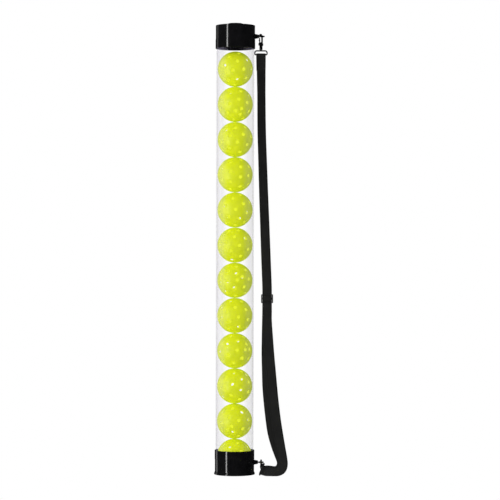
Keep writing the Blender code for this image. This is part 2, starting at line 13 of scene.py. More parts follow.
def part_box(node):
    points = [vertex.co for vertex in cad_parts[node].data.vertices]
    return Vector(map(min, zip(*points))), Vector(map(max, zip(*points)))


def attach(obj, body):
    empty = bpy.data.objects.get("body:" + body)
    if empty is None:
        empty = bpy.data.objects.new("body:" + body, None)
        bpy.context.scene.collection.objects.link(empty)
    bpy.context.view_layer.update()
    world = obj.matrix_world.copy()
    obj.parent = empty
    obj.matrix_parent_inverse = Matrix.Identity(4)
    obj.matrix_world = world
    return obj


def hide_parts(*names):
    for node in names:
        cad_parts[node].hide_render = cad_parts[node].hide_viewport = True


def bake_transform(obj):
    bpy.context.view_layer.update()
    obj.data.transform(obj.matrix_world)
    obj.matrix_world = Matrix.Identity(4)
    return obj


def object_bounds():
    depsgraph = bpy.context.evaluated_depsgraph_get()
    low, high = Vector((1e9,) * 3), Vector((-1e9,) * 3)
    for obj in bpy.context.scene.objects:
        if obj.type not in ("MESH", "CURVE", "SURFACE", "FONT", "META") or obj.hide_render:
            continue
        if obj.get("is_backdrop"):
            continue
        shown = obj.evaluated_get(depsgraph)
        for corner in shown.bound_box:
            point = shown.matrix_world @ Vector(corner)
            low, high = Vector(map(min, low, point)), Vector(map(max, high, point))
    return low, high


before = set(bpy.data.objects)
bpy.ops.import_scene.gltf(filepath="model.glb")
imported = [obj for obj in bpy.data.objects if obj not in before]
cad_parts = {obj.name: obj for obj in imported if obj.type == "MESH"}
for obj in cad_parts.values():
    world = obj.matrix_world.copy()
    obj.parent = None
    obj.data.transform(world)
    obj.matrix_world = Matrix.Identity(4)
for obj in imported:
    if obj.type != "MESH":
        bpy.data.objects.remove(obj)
cad_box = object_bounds()

MM = 0.001
X, Y, Z = Vector((1, 0, 0)), Vector((0, 1, 0)), Vector((0, 0, 1))
WHOLE_TURN = 2 * math.pi

# Tube, collar and cap, from the frame
TUBE_LOW, TUBE_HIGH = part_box("clear_tube")
COLLAR_LOW, COLLAR_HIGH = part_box("pickup_collar")
CAP_LOW, CAP_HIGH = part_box("top_cap")
RING_LOW, RING_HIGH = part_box("retaining_ring")
TUBE_RADIUS = TUBE_HIGH.x
BORE_RADIUS = TUBE_RADIUS - 1.6 * MM
LIP_RADIUS = -COLLAR_LOW.x
BAND_RADIUS = -CAP_LOW.x
FITTING_RADIUS = BAND_RADIUS - 0.4 * MM
SEAT_RADIUS = TUBE_RADIUS + 0.3 * MM
CAP_BUTTON_HEIGHT = 4.4 * MM
CAP_TOP = CAP_HIGH.z - CAP_BUTTON_HEIGHT
CAP_ROOF = 2.3 * MM
CAP_BUTTON_RADIUS = 15 * MM
FIT_GAP = 0.3 * MM
ROUND_SIDES = 160
SHARP_EDGE = math.radians(38)

# Balls
BALL_COUNT = 12
BALL_TURN = Vector((1.9, 0.8, 2.6))
BALL_FIRST_TILT = 0.5
BALL_RADIUS = 36.92 * MM
BALL_WALL = 1.9 * MM
HOLE_RADIUS = 3.6 * MM
HOLE_ROUNDING = 0.45 * MM
HOLE_CORNERS = 20
HOLE_RINGS = ((78, 3), (49.5, 7), (17, 10), (-17, 10), (-49.5, 7), (-78, 3))
SKIN_POINTS = 3600
SEAM_POINTS = 120
SEAM_HEIGHT = 0.12 * MM

# Screw eyes and bosses
UPPER_EYE_LOW, UPPER_EYE_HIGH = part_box("upper_screw_eye")
LOWER_EYE_LOW, LOWER_EYE_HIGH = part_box("lower_screw_eye")
UPPER_EYE_Z = (UPPER_EYE_LOW.z + UPPER_EYE_HIGH.z) / 2
LOWER_EYE_Z = (LOWER_EYE_LOW.z + LOWER_EYE_HIGH.z) / 2
BOSS_ROOT_X = 39.7 * MM
BOSS_TIP_X = 49.4 * MM
BOSS_ROOT_RADIUS = 5.4 * MM
BOSS_TIP_RADIUS = 3.7 * MM
EYE_X = 55.6 * MM
EYE_RING_RADIUS = 4.7 * MM
EYE_WIRE_RADIUS = 1.35 * MM
SHANK_RADIUS = 1.4 * MM
SHANK_HOLE_RADIUS = 1.65 * MM
SHANK_END_X = 42.5 * MM

# Snap hooks, in a frame whose Z runs up the swivel axis from the level of the eye's wire
UPPER_SWING_DIRECTION, UPPER_SWING = Vector((-0.5, -0.866, 0)), 0
LOWER_SWING_DIRECTION, LOWER_SWING = Vector((0.042, -0.999, 0)), 74
LOWER_LOOP_DIRECTION = Vector((0.352, -0.245, 0.904))
CLAW_OFFSET = 0.8 * MM
CLAW_RADIUS = 5.3 * MM
CLAW_WIRE = 1.8 * MM
CLAW_CENTRE_Z = -2.0 * MM
HOOK_BASE_TOP = -14.5 * MM
HOOK_BASE_BOTTOM = -20.0 * MM
HOOK_THICKNESS = 5.2 * MM
BARREL_RADIUS = 3.3 * MM
BARREL_BOTTOM = -28.6 * MM
POST_RADIUS = 1.45 * MM
POST_HEAD_RADIUS = 2.1 * MM
PIN = Vector((4.4, 0, -17.2)) * MM
PIN_RADIUS = 0.8 * MM
GATE_SLOT = 3.2 * MM
GATE_WIRE = 1.25 * MM
LOOP_WIRE = 1.4 * MM
LOOP_HALF_WIDTH = 12.8 * MM
LOOP_TOP_Z = -30.6 * MM
LOOP_BAR_Z = -38.8 * MM
CAST_VOXEL = 0.2 * MM
GATE_VOXEL = 0.13 * MM

# Strap
STRAP_WIDTH = 20.0 * MM
STRAP_THICKNESS = 1.1 * MM
FOLD_RADIUS = LOOP_WIRE + 0.45 * MM + STRAP_THICKNESS / 2
PLY_SPACING = STRAP_THICKNESS + FIT_GAP
RIB_COUNT = 16
STRAP_STEP = 2.5 * MM
SEWN_LOW = 0.8475
SEWN_HIGH = 0.867
SLIDER_LOW, SLIDER_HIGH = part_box("strap_slider")
SLIDER_CENTRE = (SLIDER_LOW + SLIDER_HIGH) / 2
SLIDER_HALF = (SLIDER_HIGH - SLIDER_LOW) / 2
SLOT_HALF_WIDTH = 10.2 * MM
SLOT_LOW = 1.4 * MM
SLOT_HIGH = 7.65 * MM


# ---- camera, light and floor

CAMERA_PLACE = Vector((0.0316, -4.2, 0.4705))
FRAME_HEIGHT = 1.05
CAMERA_ROLL = -0.13
SENSOR = 36


def camera():
    data = bpy.data.cameras.new("camera")
    data.sensor_width = SENSOR
    data.lens = SENSOR * -CAMERA_PLACE.y / FRAME_HEIGHT
    data.clip_start = 0.05
    data.clip_end = 60
    obj = bpy.data.objects.new("camera", data)
    obj.location = CAMERA_PLACE
    obj.rotation_euler = (math.radians(90), math.radians(CAMERA_ROLL), 0)
    bpy.context.scene.collection.objects.link(obj)
    bpy.context.scene.camera = obj


def area_light(name, place, aim, size, power, seen_in_gloss):
    data = bpy.data.lights.new(name, "AREA")
    data.shape = "RECTANGLE"
    data.size, data.size_y = size
    data.energy = power
    obj = bpy.data.objects.new(name, data)
    obj.location = place
    obj.rotation_euler = (Vector(aim) - Vector(place)).to_track_quat("-Z", "Y").to_euler()
    obj.visible_glossy = seen_in_gloss
    bpy.context.scene.collection.objects.link(obj)


def studio():
    """An even white surround for soft light, dark in reflections but for tall soft boxes."""
    world = bpy.data.worlds.new("studio")
    bpy.context.scene.world = world
    world.use_nodes = True
    tree = world.node_tree
    tree.nodes.clear()
    path = tree.nodes.new("ShaderNodeLightPath")
    soft, seen, gloss = (tree.nodes.new("ShaderNodeBackground") for _ in range(3))
    soft.inputs["Strength"].default_value = 0.62
    gloss.inputs["Color"].default_value = (0.035, 0.035, 0.038, 1)
    for shade in (soft, seen):
        shade.inputs["Color"].default_value = (1, 1, 1, 1)
    by_gloss, by_camera = (tree.nodes.new("ShaderNodeMixShader") for _ in range(2))
    out = tree.nodes.new("ShaderNodeOutputWorld")
    tree.links.new(path.outputs["Is Glossy Ray"], by_gloss.inputs[0])
    tree.links.new(soft.outputs[0], by_gloss.inputs[1])
    tree.links.new(gloss.outputs[0], by_gloss.inputs[2])
    tree.links.new(path.outputs["Is Camera Ray"], by_camera.inputs[0])
    tree.links.new(by_gloss.outputs[0], by_camera.inputs[1])
    tree.links.new(seen.outputs[0], by_camera.inputs[2])
    tree.links.new(by_camera.outputs[0], out.inputs["Surface"])
    middle = (0.03, 0, 0.47)
    area_light("tall_soft_box", (-1.75, -1.6, 0.5), middle, (0.27, 2.6), 36, True)
    area_light("front_fill", (-0.9, -3.0, 2.4), middle, (2.0, 1.4), 22, False)
    area_light("back_left", (-2.2, 1.6, 0.6), middle, (0.5, 1.4), 1.6, True)
    area_light("low_back_left", (-2.2, 1.6, -0.55), (0.03, 0, -0.55), (0.6, 0.8), 2.4, True)


def floor():
    bm = bmesh.new()
    bmesh.ops.create_grid(bm, x_segments=8, y_segments=8, size=12)
    mesh = bpy.data.meshes.new("floor")
    bm.to_mesh(mesh)
    bm.free()
    obj = bpy.data.objects.new("floor", mesh)
    bpy.context.scene.collection.objects.link(obj)
    look = Look("floor_white")
    look.set(base=(0.8, 0.8, 0.8), Roughness=0.9, **{"Specular IOR Level": 0.0})
    seen, pick = look.node("Emission"), look.node("MixShader")
    look.wire(look.node("LightPath").outputs["Is Camera Ray"], pick.inputs[0])
    look.wire(look.shader.outputs[0], pick.inputs[1])
    look.wire(seen.outputs[0], pick.inputs[2])
    look.wire(pick.outputs[0], look.tree.nodes["Material Output"].inputs["Surface"])
    mesh.materials.append(look.material)
    obj.visible_glossy = False
    obj.visible_shadow = False
    obj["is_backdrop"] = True


# ---- materials


class Look:
    """A node material with one Principled shader, and short ways to add nodes to it."""

    def __init__(self, name):
        self.material = bpy.data.materials.new(name)
        self.material.use_nodes = True
        self.tree = self.material.node_tree
        self.shader = self.tree.nodes["Principled BSDF"]
        self.place = None

    def set(self, base=None, **values):
        if base is not None:
            self.shader.inputs["Base Color"].default_value = (*base, 1)
        for name, value in values.items():
            self.shader.inputs[name].default_value = value

    def node(self, kind, **settings):
        made = self.tree.nodes.new(f"ShaderNode{kind}")
        for name, value in settings.items():
            setattr(made, name, value)
        return made

    def wire(self, output, target):
        self.tree.links.new(output, target)

    def math(self, operation, *values):
        made = self.node("Math", operation=operation)
        for value, target in zip(values, made.inputs):
            if isinstance(value, (int, float)):
                target.default_value = value
            else:
                self.wire(value, target)
        return made.outputs[0]

    def coordinates(self):
        if self.place is None:
            self.place = self.node("TexCoord").outputs["Object"]
        return self.place

    def noise(self, scale, detail=3, stretch=None):
        made = self.node("TexNoise")
        made.inputs["Scale"].default_value = scale
        made.inputs["Detail"].default_value = detail
        place = self.coordinates()
        if stretch:
            mapping = self.node("Mapping")
            mapping.inputs["Scale"].default_value = stretch
            self.wire(place, mapping.inputs["Vector"])
            place = mapping.outputs[0]
        self.wire(place, made.inputs["Vector"])
        return made.outputs["Fac"]

    def spread(self, value, low, high, start=0.3, end=0.7):
        """The value carried from start..end over to low..high."""
        made = self.node("MapRange")
        for name, number in (("From Min", start), ("From Max", end), ("To Min", low), ("To Max", high)):
            made.inputs[name].default_value = number
        self.wire(value, made.inputs["Value"])
        return made.outputs[0]

    def mix(self, factor, first, second):
        made = self.node("Mix", data_type="RGBA")
        self.wire(factor, made.inputs["Factor"])
        colours = [socket for socket in made.inputs if socket.type == "RGBA"]
        for value, target in zip((first, second), colours):
            if isinstance(value, tuple):
                target.default_value = (*value, 1)
            else:
                self.wire(value, target)
        return [socket for socket in made.outputs if socket.type == "RGBA"][0]

    def colour(self, output):
        self.wire(output, self.shader.inputs["Base Color"])

    def rough(self, output):
        self.wire(output, self.shader.inputs["Roughness"])

    def bump(self, height, distance, strength=1.0):
        made = self.node("Bump")
        made.inputs["Distance"].default_value = distance
        made.inputs["Strength"].default_value = strength
        self.wire(height, made.inputs["Height"])
        self.wire(made.outputs[0], self.shader.inputs["Normal"])

    def edges(self, low=0.52, high=0.60):
        """Near 1 along outer edges, from how sharply the surface turns."""
        return self.spread(self.node("NewGeometry").outputs["Pointiness"], 0, 1, low, high)


def clear_plastic():
    """Thin clear plastic: almost unseen face on, and greyer where the wall is seen on edge."""
    look = Look("clear_plastic")
    look.set(base=(0.46, 0.42, 0.64), Roughness=0.05, **{"Specular IOR Level": 0.4})
    facing = look.node("LayerWeight")
    facing.inputs["Blend"].default_value = 0.5
    edge = look.math("POWER", facing.outputs["Facing"], 3.5)
    streaks = look.spread(look.noise(60, 2, (1, 1, 0.05)), 0.8, 1.2)
    wall = look.spread(facing.outputs["Facing"], 0.004, 0.060, 0.08, 0.26)
    haze = look.math("MULTIPLY_ADD", edge, 0.20, wall)
    look.wire(look.math("MULTIPLY", haze, streaks), look.shader.inputs["Alpha"])
    look.rough(look.spread(look.noise(400, 2), 0.03, 0.08))
    look.bump(look.noise(35, 1, (1, 1, 0.1)), 0.05 * MM)
    return look.material


def black_plastic():
    look = Look("black_plastic")
    look.set(**{"Specular IOR Level": 0.3})
    patches = look.spread(look.noise(90), 0, 1)
    tone = look.mix(patches, (0.0026, 0.0026, 0.0030), (0.0050, 0.0050, 0.0055))
    look.colour(look.mix(look.edges(), tone, (0.020, 0.020, 0.021)))
    scuffs = look.spread(look.noise(700, 4, (1, 1, 0.08)), 0.05, 0.13)
    look.rough(scuffs)
    look.bump(look.noise(160, 2), 0.012 * MM)
    return look.material


def rubber():
    look = Look("rubber")
    look.set(**{"Specular IOR Level": 0.35})
    look.colour(look.mix(look.spread(look.noise(250), 0, 1), (0.010, 0.010, 0.010), (0.024, 0.024, 0.024)))
    look.rough(look.spread(look.noise(900), 0.55, 0.75))
    look.bump(look.noise(2500, 2), 0.03 * MM)
    return look.material


BALL_COLOURS = ((0.42, 0.44, 0.002), (0.50, 0.51, 0.002))


def ball_plastic():
    """Neon plastic that lets light into the hollow ball by subsurface scattering, with a painted glow of its
    own colour: emission though it is no lamp, stronger on the hollow's inner face as painted light.
    """
    look = Look("ball_plastic")
    painted_glow, painted_inner_light = (0.215, 0.28, 0.004), (0.44, 0.48, 0.030)
    look.set(**{"Specular IOR Level": 0.30, "Subsurface Weight": 0.5, "Subsurface Scale": 2.5 * MM})
    look.set(**{"Subsurface Radius": (1.0, 1.0, 0.2), "Emission Strength": 1.0})
    depth = look.node("VectorMath", operation="LENGTH")
    look.wire(look.coordinates(), depth.inputs[0])
    skin = look.spread(depth.outputs["Value"], 0, 1, BALL_RADIUS - BALL_WALL, BALL_RADIUS - BALL_WALL * 0.4)
    # painted light: emission in the ball's own colour, stronger on the inner face of the wall than on the outer
    # skin
    look.wire(look.mix(skin, painted_inner_light, painted_glow), look.shader.inputs["Emission Color"])
    tone = look.mix(look.spread(look.noise(55, 2), 0, 1), *BALL_COLOURS)
    look.colour(look.mix(look.edges(0.52, 0.62), tone, (0.62, 0.62, 0.03)))
    look.rough(look.spread(look.noise(500, 3), 0.32, 0.50))
    look.bump(look.noise(1100, 2), 0.03 * MM)
    return look.material


def black_plated():
    look = Look("black_plated")
    look.set(Metallic=1.0)
    tone = look.mix(look.spread(look.noise(300), 0, 1), (0.045, 0.045, 0.048), (0.085, 0.085, 0.09))
    look.colour(look.mix(look.edges(0.54, 0.66), tone, (0.26, 0.25, 0.25)))
    look.rough(look.spread(look.noise(1500, 4), 0.20, 0.36))
    look.bump(look.noise(1800, 2), 0.01 * MM)
    return look.material


def spring_steel():
    look = Look("spring_steel")
    look.set(Metallic=1.0)
    look.colour(look.mix(look.spread(look.noise(600), 0, 1), (0.40, 0.40, 0.42), (0.60, 0.60, 0.61)))
    look.rough(look.spread(look.noise(2500, 3, (1, 0.1, 1)), 0.18, 0.34))
    return look.material


def slider_plastic():
    look = Look("slider_plastic")
    look.set(**{"Specular IOR Level": 0.35})
    look.colour(look.mix(look.edges(0.52, 0.62), (0.010, 0.010, 0.011), (0.040, 0.040, 0.042)))
    look.rough(look.spread(look.noise(1200, 3), 0.34, 0.50))
    look.bump(look.noise(3000, 2), 0.02 * MM)
    return look.material


RIB_PITCH = STRAP_WIDTH / RIB_COUNT
PICK_PITCH = 1.5 * MM


def webbing_cloth():
    """Black woven webbing: ribs along it, crossed by picks that step from rib to rib."""
    look = Look("webbing")
    look.set(**{"Specular IOR Level": 0.25, "Sheen Weight": 0.08, "Sheen Roughness": 0.4})
    place = look.node("Attribute", attribute_name="strap_place")
    split = look.node("SeparateXYZ")
    look.wire(place.outputs["Vector"], split.inputs[0])
    rib_place = look.math("DIVIDE", split.outputs["X"], RIB_PITCH)
    rib = look.math("ABSOLUTE", look.math("SINE", look.math("MULTIPLY", rib_place, math.pi)))
    step = look.math("MULTIPLY", look.math("FLOOR", rib_place), 0.5)
    pick_place = look.math("ADD", look.math("DIVIDE", split.outputs["Y"], PICK_PITCH), step)
    pick = look.math("ABSOLUTE", look.math("SINE", look.math("MULTIPLY", pick_place, math.pi)))
    weave = look.math("MULTIPLY", rib, look.math("MULTIPLY_ADD", pick, 0.6, 0.4))
    fuzz = look.spread(look.noise(2600, 3), -0.15, 0.15)
    yarn = look.math("ADD", weave, fuzz)
    tone = look.mix(look.spread(yarn, 0, 1, 0.1, 1.0), (0.0030, 0.0030, 0.0029), (0.0120, 0.0118, 0.0112))
    patches = look.spread(look.noise(28, 2), 0, 0.30)
    worn = look.mix(patches, tone, (0.016, 0.016, 0.015))
    # painted shade: the webbing's colour darkens towards both long edges of the strap
    from_edge = look.math("ABSOLUTE", look.math("SUBTRACT", split.outputs["X"], STRAP_WIDTH))
    edge_falloff = look.spread(from_edge, 0, 0.75, STRAP_WIDTH * 0.38, STRAP_WIDTH * 0.44)
    look.colour(look.mix(edge_falloff, worn, (0.0018, 0.0018, 0.0018)))
    look.rough(look.spread(yarn, 0.85, 0.62, 0.1, 1.0))
    look.bump(yarn, 0.16 * MM, 0.8)
    return look.material


def thread():
    look = Look("sewing_thread")
    look.set(**{"Specular IOR Level": 0.3, "Sheen Weight": 0.1})
    look.colour(look.mix(look.spread(look.noise(3000), 0, 1), (0.012, 0.012, 0.012), (0.030, 0.030, 0.030)))
    look.rough(look.spread(look.noise(4000), 0.55, 0.75))
    return look.material


# ---- making meshes


def object_of(name, bm):
    mesh = bpy.data.meshes.new(name)
    bmesh.ops.recalc_face_normals(bm, faces=bm.faces)
    bm.to_mesh(mesh)
    bm.free()
    mesh.shade_smooth()
    obj = bpy.data.objects.new(name, mesh)
    bpy.context.scene.collection.objects.link(obj)
    return obj


def filleted(points, radius, steps=4):
    """A closed outline of (radius, height) points with round corners. A point may name its own rounding."""
    out = []
    for i, point in enumerate(points):
        before, corner, after = (Vector(points[k % len(points)][:2]) for k in (i - 1, i, i + 1))
        back, ahead = before - corner, after - corner
        wanted = point[2] if len(point) > 2 else radius
        reach = min(wanted, 0.42 * back.length, 0.42 * ahead.length)
        if corner.x < 1e-9 or reach < 1e-6:
            out.append(corner)
            continue
        start, end = corner + back.normalized() * reach, corner + ahead.normalized() * reach
        for k in range(steps + 1):
            t = k / steps
            out.append(start * (1 - t) ** 2 + corner * (2 * t * (1 - t)) + end * t**2)
    return out


def join_rings(bm, ring, following):
    """A band of faces between two closed rings of as many vertices."""
    for k in range(len(ring)):
        m = (k + 1) % len(ring)
        bm.faces.new((ring[k], ring[m], following[m], following[k]))


def lathe(name, outline, rounding, sides=ROUND_SIDES, opened=False):
    """An outline of (radius, height) points turned about Z."""
    points = filleted(outline, rounding)
    bm = bmesh.new()
    rings = []
    for k in range(sides):
        angle = WHOLE_TURN * k / sides
        turn = Vector((math.cos(angle), math.sin(angle), 0))
        rings.append([bm.verts.new(turn * point.x + Z * point.y) for point in points])
    last = len(points) - 1 if opened else len(points)
    for k, ring in enumerate(rings):
        following = rings[(k + 1) % sides]
        for i in range(last):
            j = (i + 1) % len(points)
            bm.faces.new((ring[i], following[i], following[j], ring[j]))
    bmesh.ops.remove_doubles(bm, verts=bm.verts, dist=1e-7)
    return object_of(name, bm)


def weighted_normals(obj):
    modifier = obj.modifiers.new("even shading", "WEIGHTED_NORMAL")
    modifier.keep_sharp = True
    return obj


def rod_rings(points, radius, sides, cyclic):
    """Rings of places round a path, with domed ends. radius is a number, or a function of the place."""
    size_at = radius if callable(radius) else lambda place: radius
    if not cyclic:
        reach = 0.55 * max(size_at(points[0]), size_at(points[-1]))
        middle = [p for p in points[1:-1] if min((p - points[0]).length, (p - points[-1]).length) > reach]
        points = [points[0], *middle, points[-1]]
    count = len(points)
    runs = []
    for i in range(count):
        before = points[i - 1] if cyclic or i else points[i]
        after = points[(i + 1) % count] if cyclic or i < count - 1 else points[i]
        runs.append((after - before).normalized())
    side = runs[0].orthogonal().normalized()
    centres = []
    for i, (point, run) in enumerate(zip(points, runs)):
        if i:
            side = runs[i - 1].rotation_difference(run) @ side
        centres.append((point, run, side.copy(), size_at(point)))
    if not cyclic:
        dome = (0.35, 0.65, 0.87)
        for end, sign in ((0, -1), (-1, 1)):
            point, run, turned_side, size = centres[end]
            rings = [(point - run * sign * size * 0.5, run, turned_side, size)]
            for d in dome:
                shrink = math.sqrt(1 - d * d)
                away = point + run * sign * size * 0.5 * (d - 1)
                rings.append((away, run, turned_side, size * (0.5 + 0.5 * shrink)))
            rings = rings if end else rings[::-1]
            centres = centres[:-1] + rings if end else rings + centres[1:]
    for point, run, turned_side, size in centres:
        other = run.cross(turned_side)
        yield [
            point + (turned_side * math.cos(a) + other * math.sin(a)) * size
            for a in (WHOLE_TURN * k / sides for k in range(sides))
        ]


def add_rod(bm, points, radius, sides=20, cyclic=False):
    rings = [[bm.verts.new(place) for place in ring] for ring in rod_rings(points, radius, sides, cyclic)]
    pairs = list(zip(rings, rings[1:]))
    if cyclic:
        pairs.append((rings[-1], rings[0]))
    for ring, following in pairs:
        join_rings(bm, ring, following)
    if not cyclic:
        bm.faces.new(rings[0][::-1])
        bm.faces.new(rings[-1])


def rod(name, points, radius, sides=20, cyclic=False):
    bm = bmesh.new()
    add_rod(bm, points, radius, sides, cyclic)
    return object_of(name, bm)


def straight(name, start, end, radius, sides=32, end_radius=None):
    """A plain cylinder or cone, used to build up or cut a piece."""
    run = end - start
    bm = bmesh.new()
    far = radius if end_radius is None else end_radius
    bmesh.ops.create_cone(bm, cap_ends=True, segments=sides, radius1=radius, radius2=far, depth=run.length)
    turn = Z.rotation_difference(run.normalized()).to_matrix().to_4x4()
    bmesh.ops.transform(bm, matrix=Matrix.Translation((start + end) / 2) @ turn, verts=bm.verts)
    return object_of(name, bm)


def block(name, low, high, rounding=0.0):
    """A box, used to build up or cut a piece."""
    bm = bmesh.new()
    bmesh.ops.create_cube(bm, size=1)
    low, high = Vector(low), Vector(high)
    bmesh.ops.scale(bm, vec=high - low, verts=bm.verts)
    bmesh.ops.translate(bm, vec=(low + high) / 2, verts=bm.verts)
    if rounding:
        bmesh.ops.bevel(bm, geom=bm.edges[:], offset=rounding, segments=3, profile=0.5, affect="EDGES")
    return object_of(name, bm)


def shaped(obj, adds=(), cuts=(), voxel=None, smoothing=6, place=None):
    """obj with others joined to it and cut from it; with a voxel size, its corners flow like a casting."""
    for operation, others in (("UNION", adds), ("DIFFERENCE", cuts)):
        for other in others:
            modifier = obj.modifiers.new(operation.lower(), "BOOLEAN")
            modifier.operation = operation
            modifier.object = other
            modifier.solver = "EXACT"
    if voxel:
        remesh = obj.modifiers.new("cast", "REMESH")
        remesh.mode = "VOXEL"
        remesh.voxel_size = voxel
        remesh.use_smooth_shade = True
        soften = obj.modifiers.new("soften", "SMOOTH")
        soften.iterations = smoothing
        soften.factor = 0.5
    bpy.context.view_layer.update()
    mesh = bpy.data.meshes.new_from_object(obj.evaluated_get(bpy.context.evaluated_depsgraph_get()))
    obj.modifiers.clear()
    obj.data = mesh
    for other in (*adds, *cuts):
        bpy.data.objects.remove(other)
    if place is not None:
        mesh.transform(place)
    if not voxel:
        mesh.shade_smooth()
        mesh.set_sharp_from_angle(angle=SHARP_EDGE)
    return obj


def arc(centre, radius, start_deg, end_deg, steps):
    """Places in the XZ plane on an arc about a centre (x, z)."""
    for i in range(steps + 1):
        angle = math.radians(start_deg + (end_deg - start_deg) * i / steps)
        yield Vector((centre[0] + radius * math.cos(angle), 0, centre[1] + radius * math.sin(angle)))


def adopt(obj, node, body, look):
    """obj stands for the CAD node of that name, in that finish, on that body."""
    obj.data.materials.clear()
    obj.data.materials.append(look)
    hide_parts(node)
    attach(obj, body)
    return obj


# ---- tube, collar, ring and cap


def tube_surface(look):
    outline = [
        (TUBE_RADIUS, TUBE_HIGH.z),
        (TUBE_RADIUS, TUBE_LOW.z),
        (BORE_RADIUS, TUBE_LOW.z),
        (BORE_RADIUS, TUBE_HIGH.z),
    ]
    tube = lathe("tube_surface", outline, 0.3 * MM)
    adopt(weighted_normals(tube), "clear_tube", "tube", look)


def boss_tools(height):
    """The eye's boss, flared where it leaves the fitting, and the hole for the eye's shank."""
    length = BOSS_TIP_X - BOSS_ROOT_X
    points, radii = [], []
    for k in range(13):
        t = k / 12
        flare = 1.5 * MM * max(0, 1 - t * 3.2) ** 2
        tip = 0.5 * MM * max(0, (t - 0.9) / 0.1) ** 2
        points.append(X * (BOSS_ROOT_X + length * t) + Z * height)
        radii.append(BOSS_ROOT_RADIUS + (BOSS_TIP_RADIUS - BOSS_ROOT_RADIUS) * t + flare - tip)
    bm = bmesh.new()
    rings = []
    sides = 48
    for point, radius in zip(points, radii):
        ring = []
        for k in range(sides):
            angle = WHOLE_TURN * k / sides
            ring.append(bm.verts.new(point + (Y * math.cos(angle) + Z * math.sin(angle)) * radius))
        rings.append(ring)
    for ring, following in zip(rings, rings[1:]):
        join_rings(bm, ring, following)
    bm.faces.new(rings[0])
    bm.faces.new(rings[-1])
    boss = object_of("boss", bm)
    start = X * (SHANK_END_X - 0.7 * MM) + Z * height
    hole = straight("shank_hole", start, X * (BOSS_TIP_X + 2 * MM) + Z * height, SHANK_HOLE_RADIUS)
    return boss, hole


def collar_surface(look):
    grip_top = COLLAR_HIGH.z
    shoulder = TUBE_LOW.z - FIT_GAP
    groove = RING_HIGH.x + FIT_GAP
    outline = [
        (BAND_RADIUS, grip_top),
        (BAND_RADIUS, TUBE_LOW.z, 0.1 * MM),
        (FITTING_RADIUS, TUBE_LOW.z - 0.5 * MM, 0.1 * MM),
        (FITTING_RADIUS, 6.0 * MM),
        (LIP_RADIUS, 2.6 * MM),
        (LIP_RADIUS, 0.0),
        (BORE_RADIUS, 0.0),
        (BORE_RADIUS, RING_LOW.z - FIT_GAP),
        (groove, RING_LOW.z - FIT_GAP),
        (groove, RING_HIGH.z + FIT_GAP),
        (BORE_RADIUS, RING_HIGH.z + FIT_GAP),
        (BORE_RADIUS, shoulder),
        (SEAT_RADIUS, shoulder),
        (SEAT_RADIUS, grip_top),
    ]
    collar = lathe("collar_surface", outline, 0.6 * MM)
    boss, hole = boss_tools(LOWER_EYE_Z)
    shaped(collar, adds=[boss], cuts=[hole])
    adopt(weighted_normals(collar), "pickup_collar", "tube", look)


def ring_surface(look):
    outline = [
        (RING_HIGH.x, RING_HIGH.z),
        (RING_HIGH.x, RING_LOW.z),
        (BORE_RADIUS, RING_LOW.z),
        (RING_HIGH.x - 3.5 * MM, RING_HIGH.z - 1.2 * MM),
        (RING_HIGH.x - 3.5 * MM, RING_HIGH.z - 0.4 * MM),
        (BORE_RADIUS, RING_HIGH.z),
    ]
    adopt(lathe("ring_surface", outline, 0.35 * MM), "retaining_ring", "tube", look)


def cap_surface(look):
    rim = CAP_LOW.z
    shoulder = TUBE_HIGH.z + FIT_GAP
    outline = [
        (0.0, CAP_HIGH.z),
        (CAP_BUTTON_RADIUS, CAP_HIGH.z, 0.6 * MM),
        (CAP_BUTTON_RADIUS + 2 * MM, CAP_TOP),
        (FITTING_RADIUS, CAP_TOP, 0.7 * MM),
        (FITTING_RADIUS, TUBE_HIGH.z + 0.5 * MM, 0.1 * MM),
        (BAND_RADIUS, TUBE_HIGH.z, 0.1 * MM),
        (BAND_RADIUS, rim),
        (SEAT_RADIUS, rim),
        (SEAT_RADIUS, shoulder),
        (BORE_RADIUS, shoulder),
        (BORE_RADIUS, CAP_TOP - CAP_ROOF),
        (0.0, CAP_TOP - CAP_ROOF),
    ]
    cap = lathe("cap_surface", outline, 1.3 * MM, opened=True)
    boss, hole = boss_tools(UPPER_EYE_Z)
    shaped(cap, adds=[boss], cuts=[hole])
    adopt(weighted_normals(cap), "top_cap", "top_cap", look)


def eye_surface(node, height, body, look):
    """A screw eye of one bent wire: a threaded shank that turns into a ring, with a small gap."""
    bend = 26
    shank_end = EYE_X - EYE_RING_RADIUS - 2.2 * MM
    step = 0.2 * MM
    points = [X * (SHANK_END_X + step * k) for k in range(int((shank_end - SHANK_END_X) / step))]
    start = math.radians(180 + bend)
    ring_start = X * EYE_X + (X * math.cos(start) + Y * math.sin(start)) * EYE_RING_RADIUS
    corner = X * (EYE_X - EYE_RING_RADIUS + 0.1 * MM) - Y * 0.25 * MM
    leaving = points[-1]
    for k in range(1, 7):
        t = k / 7
        points.append(leaving * (1 - t) ** 2 + corner * (2 * t * (1 - t)) + ring_start * t**2)
    sweep = 360 - bend - 12
    for k in range(61):
        angle = math.radians(180 + bend + sweep * k / 60)
        points.append(X * EYE_X + (X * math.cos(angle) + Y * math.sin(angle)) * EYE_RING_RADIUS)

    def wire_radius(place):
        if place.x < BOSS_TIP_X + 0.6 * MM:
            return SHANK_RADIUS - 0.09 * MM * (1 + math.cos(WHOLE_TURN * place.x / (0.9 * MM)))
        return EYE_WIRE_RADIUS

    eye = rod(f"{node}_surface", [point + Z * height for point in points], wire_radius, sides=24)
    adopt(eye, node, body, look)


# ---- balls


def hole_directions():
    """Directions of the holes, in rings about the ball's poles, each ring half a step on."""
    for ring, (latitude, count) in enumerate(HOLE_RINGS):
        for i in range(count):
            angle = WHOLE_TURN * (i + 0.5 * (ring % 2)) / count
            flat = math.cos(math.radians(latitude))
            yield Vector((flat * math.cos(angle), flat * math.sin(angle), math.sin(math.radians(latitude))))


